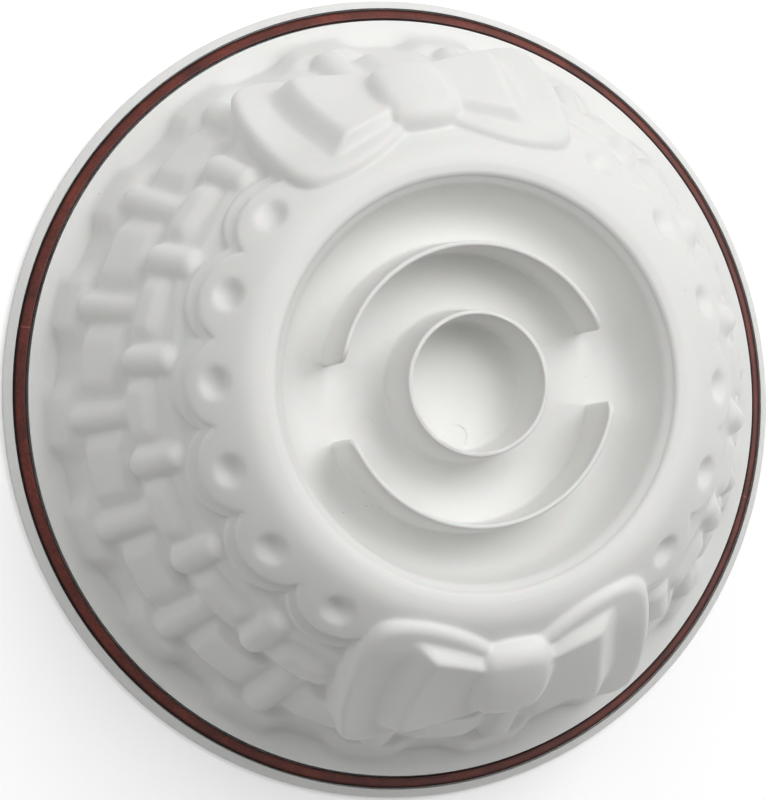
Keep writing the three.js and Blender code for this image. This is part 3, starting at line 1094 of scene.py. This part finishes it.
def noise(tree: Tree, place: Socket, size_mm: float, detail: float) -> Socket:
    """Noise from 0 to 1, with patches of a size in millimetres."""
    links = {"Vector": place, "Scale": 1 / (size_mm * MM), "Detail": detail}
    return add_node(tree, "ShaderNodeTexNoise", links).outputs["Fac"]


def mixed(tree: Tree, share: Socket, first: Any, second: Any) -> Socket:
    """Mix of two colours: the first at a share of 0, the second at 1."""
    links = {"Factor": share, 6: first, 7: second}
    return add_node(tree, "ShaderNodeMix", links, data_type="RGBA").outputs[2]


def ranged(tree: Tree, value: Socket, source: Sequence[float], target: Sequence[Any] = (0.0, 1.0)) -> Socket:
    """Value carried from one range to another, and held at its ends."""
    names = ("Value", "From Min", "From Max", "To Min", "To Max")
    return add_node(tree, "ShaderNodeMapRange", dict(zip(names, (value, *source, *target)))).outputs[0]


def worked_out(tree: Tree, operation: str, *values: Any) -> Socket:
    """Result of a math node."""
    return add_node(tree, "ShaderNodeMath", dict(enumerate(values)), operation=operation).outputs[0]


def vector_result(tree: Tree, operation: str, output: int, *values: Any) -> Socket:
    """Result of a vector math node: output 0 is a vector and 1 a number."""
    links = dict(enumerate(values))
    return add_node(tree, "ShaderNodeVectorMath", links, operation=operation).outputs[output]


def bumped(tree: Tree, height: Socket, depth_mm: float) -> Socket:
    """Normals that follow a height from 0 to 1 times a depth in millimetres."""
    links = {"Height": height, "Distance": depth_mm * MM, "Strength": 1.0}
    return add_node(tree, "ShaderNodeBump", links).outputs[0]


def surfaced(tree: Tree, links: dict[str | int, Any]) -> None:
    """Ends a material in one surface with the given inputs."""
    shader = add_node(tree, "ShaderNodeBsdfPrincipled", links)
    add_node(tree, "ShaderNodeOutputMaterial", {"Surface": shader.outputs[0]})


def new_material(name: str) -> tuple[bpy.types.Material, Tree]:
    """Empty node material.

    Args:
        name: Name of the material.

    Returns:
        The material and its tree.
    """
    material = bpy.data.materials.new(name)
    material.use_nodes = True
    material.node_tree.nodes.clear()
    return material, material.node_tree


@dataclass(frozen=True)
class MouldedSilicone:
    """White platinum-cured silicone rubber, moulded in a bead-blasted tool.

    It gives the eye a soft satin white: a broad dull sheen, light that enters and
    spreads a little, a faint grain from the tool, and a few specks of dust.
    """

    light: str = "EDEDEB"
    dark: str = "E6E6E3"
    dust: str = "8F8C86"
    ior: float = 1.41
    roughness: tuple[float, float] = (0.40, 0.52)
    cloud_mm: float = 38.0
    # The grain is drawn coarser than a blasted tool leaves it, so that a picture can show it
    grain_mm: float = 0.55
    grain_depth_mm: float = 0.012
    cloud_span: tuple[float, float] = (0.3, 0.7)
    dust_mm: float = 11.0
    dust_radius: tuple[float, float] = (0.022, 0.022 * 0.4)
    dust_share: float = 0.75
    spread: float = 0.12
    spread_mm: float = 1.6
    sheen: float = 0.42

    def material(self) -> bpy.types.Material:
        """Builds the node material.

        Returns:
            The material.
        """
        made, tree = new_material("white_silicone_moulded")
        place = add_node(tree, "ShaderNodeTexCoord", {}).outputs["Object"]
        cloud = noise(tree, place, self.cloud_mm, 3.0)
        grain = noise(tree, place, self.grain_mm, 2.0)
        white = mixed(tree, cloud, linear(self.dark), linear(self.light))
        links = {"Vector": place, "Scale": 1 / (self.dust_mm * MM)}
        speck = add_node(tree, "ShaderNodeTexVoronoi", links).outputs["Distance"]
        spot = ranged(tree, speck, self.dust_radius, (0.0, self.dust_share))
        surfaced(tree, {
            "Base Color": mixed(tree, spot, white, linear(self.dust)),
            "Roughness": ranged(tree, cloud, self.cloud_span, self.roughness),
            "Normal": bumped(tree, grain, self.grain_depth_mm),
            "IOR": self.ior,
            "Subsurface Weight": self.spread,
            "Subsurface Scale": self.spread_mm * MM,
            "Specular IOR Level": self.sheen,
        })
        return made


@dataclass(frozen=True)
class MouldedRing:
    """Red-brown glass-filled nylon, injection moulded.

    It gives the eye a dull brown with a low sheen, a fine speckle of fibre in the
    surface and two weld lines. A dark line along both upper edges is painted shade,
    standing in for the shadow in the gaps between the ring and its groove.
    """

    light: str = "7C3629"
    dark: str = "4C1C14"
    ior: float = 1.53
    roughness: tuple[float, float] = (0.42, 0.58)
    # The speckle is drawn coarser than fibre shows in a real surface, so that a picture can show it
    speckle_mm: float = 0.8
    speckle_span: tuple[float, float] = (0.3, 0.7)
    blend_span: tuple[float, float] = (0.12, 0.40)
    sheen: float = 0.5
    cloud_mm: float = 9.0
    grain_depth_mm: float = 0.02
    # Painted shade: near-black colour for the shadowed gaps along both upper edges
    edge: str = "160B09"
    middle_mm: float = 105.9
    shade_line_mm: tuple[float, float] = (0.9, 1.25)
    top_mm: float = 4.8
    top_slope: float = 1.1
    shade_line_depth_mm: tuple[float, float] = (1.0, 0.5)
    # The weld lines are guessed: the photograph shows none
    weld: str = "9A5C4E"
    weld_turns: tuple[float, ...] = (math.radians(160.5), math.radians(-24.5))
    weld_half_mm: float = 0.14

    def material(self) -> bpy.types.Material:
        """Builds the node material.

        Returns:
            The material.
        """
        made, tree = new_material("brown_nylon_moulded")
        place = add_node(tree, "ShaderNodeTexCoord", {}).outputs["Object"]
        speckle = noise(tree, place, self.speckle_mm, 3.0)
        cloud = noise(tree, place, self.cloud_mm, 2.0)
        share = ranged(tree, worked_out(tree, "MULTIPLY", speckle, cloud), self.blend_span)
        colour = mixed(tree, share, linear(self.dark), linear(self.light))
        for turn in self.weld_turns:
            forth = (math.cos(turn), math.sin(turn), 0.0)
            side = vector_result(tree, "DOT_PRODUCT", 1, place, (-forth[1], forth[0], 0.0))
            ahead = vector_result(tree, "DOT_PRODUCT", 1, place, forth)
            near = worked_out(tree, "COMPARE", side, 0.0, self.weld_half_mm * MM)
            front = worked_out(tree, "GREATER_THAN", ahead, 0.0)
            colour = mixed(tree, worked_out(tree, "MULTIPLY", near, front), colour, linear(self.weld))
        # Painted shade: the colour goes to near-black within a band of each upper edge, on the top only, for
        # the shadow in the gaps beside the ring
        radius = vector_result(tree, "LENGTH", 1, vector_result(tree, "MULTIPLY", 0, place, (1, 1, 0)))
        aside = worked_out(tree, "SUBTRACT", radius, self.middle_mm * MM)
        height = add_node(tree, "ShaderNodeSeparateXYZ", {0: place}).outputs["Z"]
        over = worked_out(tree, "MULTIPLY_ADD", aside, self.top_slope, height)
        upper = ranged(tree, over, [(self.top_mm - depth) * MM for depth in self.shade_line_depth_mm])
        aside = worked_out(tree, "ABSOLUTE", aside)
        edge = ranged(tree, aside, [limit * MM for limit in self.shade_line_mm], (0.0, upper))
        surfaced(tree, {
            "Base Color": mixed(tree, edge, colour, linear(self.edge)),
            "Roughness": ranged(tree, speckle, self.speckle_span, self.roughness),
            "Normal": bumped(tree, speckle, self.grain_depth_mm),
            "IOR": self.ior,
            "Specular IOR Level": self.sheen,
        })
        return made


@dataclass(frozen=True)
class PaperSweep:
    """White matt paper floor, which the camera sees a little lighter than it is lit."""

    colour: str = "F6F6F6"
    lift: float = 0.25

    def material(self) -> bpy.types.Material:
        """Builds the node material.

        Returns:
            The material.
        """
        made, tree = new_material("white_paper")
        path = add_node(tree, "ShaderNodeLightPath", {})
        seen = worked_out(tree, "MAXIMUM", path.outputs["Is Camera Ray"], path.outputs["Is Glossy Ray"])
        lift = worked_out(tree, "MULTIPLY", seen, self.lift)
        glow = add_node(tree, "ShaderNodeEmission", {"Color": (1, 1, 1, 1), "Strength": lift}).outputs[0]
        paper = add_node(tree, "ShaderNodeBsdfDiffuse", {"Color": linear(self.colour)}).outputs[0]
        both = add_node(tree, "ShaderNodeAddShader", {0: paper, 1: glow}).outputs[0]
        add_node(tree, "ShaderNodeOutputMaterial", {"Surface": both})
        return made


# Sub-assemblies


@dataclass
class Moulding:
    """The white silicone moulding: one shell with its relief, dish, feet and rim."""

    wall: WovenWall = field(default_factory=WovenWall)
    cloth: Cloth = field(default_factory=Cloth)
    bow: Bow = field(default_factory=Bow)
    dish: Dish = field(default_factory=Dish)
    feet: tuple[ArcFoot, ...] = (
        ArcFoot(math.radians(14.0), math.radians(162.0)),
        ArcFoot(math.radians(-167.0), math.radians(-15.5)),
    )
    rim: Rim = field(default_factory=Rim)
    finish: MouldedSilicone = field(default_factory=MouldedSilicone)
    thickness: float = 2.0
    bottom: float = 1.1
    below: float = 3.0
    cloth_fillet: float = 0.45
    bow_fillet: float = 0.3
    outside_triangles: int = 110000
    cavity_triangles: int = 38000
    fine: float = 0.5
    quick_fine: float = 1.0
    cavity_fine: float = 0.9
    sharp: float = math.radians(50)

    def form(self, space: Space) -> Array:
        """Distance to the outer form, before the dish is cut.

        The relief comes from a distance field and not from patches on a grid,
        because stakes, hem and bows run into each other in soft fillets.

        Args:
            space: Points.

        Returns:
            Distances.
        """
        solid = soft_min(self.wall.distance(space), self.cloth.distance(space), self.cloth_fillet)
        solid = soft_max(solid, -self.cloth.dimples(space), self.cloth.dimple_soft)
        _, above, _ = self.cloth.place(space)
        near = np.abs(space.turn[:, 0, 0] - np.pi / 2) < np.pi / 2 - self.bow.begins
        part = Space(space.turn[near], space.radius, space.height)
        solid[near] = soft_min(solid[near], self.bow.distance(part, above), self.bow_fillet)
        return solid

    @staticmethod
    def net(
        fine: float, inner: Sequence[float], radii: Sequence[float], heights: Sequence[float]
    ) -> PolarNet:
        """Net with an even spacing between two radii and two heights, and wide steps near the axis.

        Args:
            fine: Spacing of the net.
            inner: Radii of the wide steps.
            radii: First and last radius of the even part.
            heights: First and last height.

        Returns:
            The net, whose steps round the axis are a multiple of 36.
        """
        return PolarNet(
            turns=36 * round(15 / fine),
            radii=np.concatenate([inner, np.arange(*radii, fine)]),
            heights=np.arange(*heights, fine),
        )

    def outside(self, fine: float) -> Solid:
        """Skins the outer form, closed below inside the rim.

        Args:
            fine: Spacing of the net.

        Returns:
            The solid.
        """
        net = self.net(fine, (0, 14, 28, 40, 48, 53), (56, 107), (-0.33, 82))
        space = net.half()
        values = np.maximum(self.form(space), self.bottom - space.height)
        made = put_mesh("outside", *net.skin(net.unpinched(net.eased(values))))
        return thinned(made, self.outside_triangles)

    def cavity(self) -> Solid:
        """Skins the cavity: the outer form and the dish, both moved in by the wall's thickness.

        Returns:
            The solid.
        """
        net = self.net(self.cavity_fine, (0, 14, 28, 38), (42, 106), (-4.37, 80))
        space = net.half()
        values = np.maximum(self.form(space), -self.dish.distance(space))
        values = np.maximum(values + self.thickness, -self.below - space.height)
        made = put_mesh("cavity", *net.skin(net.unpinched(net.eased(values))))
        return thinned(made, self.cavity_triangles)

    def build(self) -> Solid:
        """Makes the whole moulding as one closed solid.

        Returns:
            The moulding.
        """
        fine = self.fine
        steps = [
            (Cut.JOIN, self.rim.solid()),
            (Cut.REMOVE, self.dish.hollow()),
            (Cut.REMOVE, self.cavity()),
            (Cut.REMOVE, self.rim.slot()),
            *((Cut.REMOVE, disc) for disc in self.dish.ejector_marks()),
            *((Cut.JOIN, foot.solid()) for foot in self.feet),
        ]
        made = in_metres(combined(self.outside(fine), steps, "silicone_moulding"))
        made.data.shade_smooth()
        made.data.set_sharp_from_angle(angle=self.sharp)
        return made

    def dress(self, piece: Solid) -> None:
        """Gives the moulding its finish and its place in the frame.

        Args:
            piece: The moulding.
        """
        piece.data.materials.clear()
        piece.data.materials.append(self.finish.material())
        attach(piece, Body.MOULD.value)
        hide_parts("mould_body")


@dataclass
class StiffeningRing:
    """The brown ring in the groove: upright sides, a sloping top and rounded edges."""

    inner: float = 104.45
    outer: float = 107.35
    bottom: float = 1.7
    slope: tuple[float, float] = (6.4, 3.2)
    edge: float = 0.4
    segments: int = 288
    finish: MouldedRing = field(default_factory=MouldedRing)

    def build(self) -> Solid:
        """Turns the ring's section round the axis.

        Returns:
            The ring.
        """
        corners = [
            ((self.inner + self.outer) / 2, self.bottom),
            (self.outer, self.bottom),
            (self.outer, self.slope[1]),
            (self.inner, self.slope[0]),
            (self.inner, self.bottom),
            ((self.inner + self.outer) / 2, self.bottom),
        ]
        profile = rounded_line(corners, [0, self.edge, self.edge, self.edge, self.edge, 0], 4)[:-1]
        made = in_metres(turned("brown_stiffening_ring", profile, self.segments))
        made.data.shade_smooth()
        return made

    def dress(self, piece: Solid) -> None:
        """Gives the ring its finish and its place in the frame.

        Args:
            piece: The ring.
        """
        piece.data.materials.append(self.finish.material())
        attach(piece, Body.RING.value)
        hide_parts("stiffening_ring")


@dataclass
class Studio:
    """Floor, soft light, and the camera at the photograph's place."""

    floor: PaperSweep = field(default_factory=PaperSweep)
    tilt: float = math.radians(17.07)
    roll: float = math.radians(-9.6)
    away: float = 1500.0
    aim: tuple[float, float] = (-2.1, -0.5)
    pixels: float = 3.62
    image_height: int = 800
    sensor: float = 24.0
    lamps: tuple[tuple[str, float, float], ...] = (
        ("window", math.radians(45), 16.6),
        ("right_panel", math.radians(0), 4.5),
        ("left_panel", math.radians(135), 7.4),
    )
    lamp_height: float = math.radians(55)
    lamp_away: float = 1.8
    lamp_size: float = 1.1
    look_at: float = 0.04
    floor_radius: float = 2500.0
    floor_heights: tuple[float, float] = (-6.0, -0.05)
    surround: float = 0.215

    def build_floor(self) -> None:
        """Large disc under the rim, as a turned profile."""
        low, high = self.floor_heights
        profile = np.array([(0.0, low), (self.floor_radius, low), (self.floor_radius, high), (0.0, high)])
        made = in_metres(turned("paper_floor", profile, 96))
        made.data.materials.append(self.floor.material())

    def build_light(self) -> None:
        """A main lamp high on +X +Y, a weaker one to each side of it, and an even pale surround."""
        flat, high = math.cos(self.lamp_height) * self.lamp_away, math.sin(self.lamp_height) * self.lamp_away
        for name, bearing, power in self.lamps:
            data = bpy.data.lights.new(name, "AREA")
            data.size, data.energy = self.lamp_size, power
            place = Vector((flat * math.cos(bearing), flat * math.sin(bearing), high))
            turn = (Vector((0, 0, self.look_at)) - place).to_track_quat("-Z", "Y")
            made = bpy.data.objects.new(name, data)
            made.matrix_world = Matrix.Translation(place) @ turn.to_matrix().to_4x4()
            bpy.context.scene.collection.objects.link(made)
        world = bpy.data.worlds.new("pale_room")
        bpy.context.scene.world = world
        world.use_nodes = True
        tree = world.node_tree
        tree.nodes.clear()
        sky = add_node(tree, "ShaderNodeBackground", {"Color": linear("FFFFFF"), "Strength": self.surround})
        add_node(tree, "ShaderNodeOutputWorld", {"Surface": sky.outputs[0]})

    def build_camera(self) -> None:
        """Camera square to the photograph: tilted towards -X from above, then rolled about its own axis."""
        back = Vector((-math.sin(self.tilt), 0, math.cos(self.tilt)))
        level = Vector((math.cos(self.tilt), 0, math.sin(self.tilt)))
        north = Vector((0, 1, 0))
        right = level * math.cos(self.roll) + north * math.sin(self.roll)
        up = north * math.cos(self.roll) - level * math.sin(self.roll)
        place = (right * self.aim[0] + up * self.aim[1] + back * self.away) * MM
        data = bpy.data.cameras.new("camera")
        data.sensor_fit = "VERTICAL"
        data.sensor_height = self.sensor
        data.lens = self.pixels * self.away * self.sensor / self.image_height
        made = bpy.data.objects.new("camera", data)
        made.matrix_world = Matrix.Translation(place) @ Matrix((right, up, back)).transposed().to_4x4()
        bpy.context.scene.collection.objects.link(made)
        bpy.context.scene.camera = made

    def build(self) -> None:
        """Sets up the whole studio."""
        self.build_floor()
        self.build_light()
        self.build_camera()
        bpy.context.scene.view_settings.view_transform = "Standard"


def main() -> None:
    """Builds the studio and both pieces."""
    logging.basicConfig(level=logging.INFO, format="%(name)s: %(message)s")
    Studio().build()
    for assembly in (Moulding(), StiffeningRing()):
        piece = assembly.build()
        assembly.dress(piece)
        piece.data.calc_loop_triangles()
        log.info("%s: %d triangles", piece.name, len(piece.data.loop_triangles))


if __name__ == "__main__":
    main()
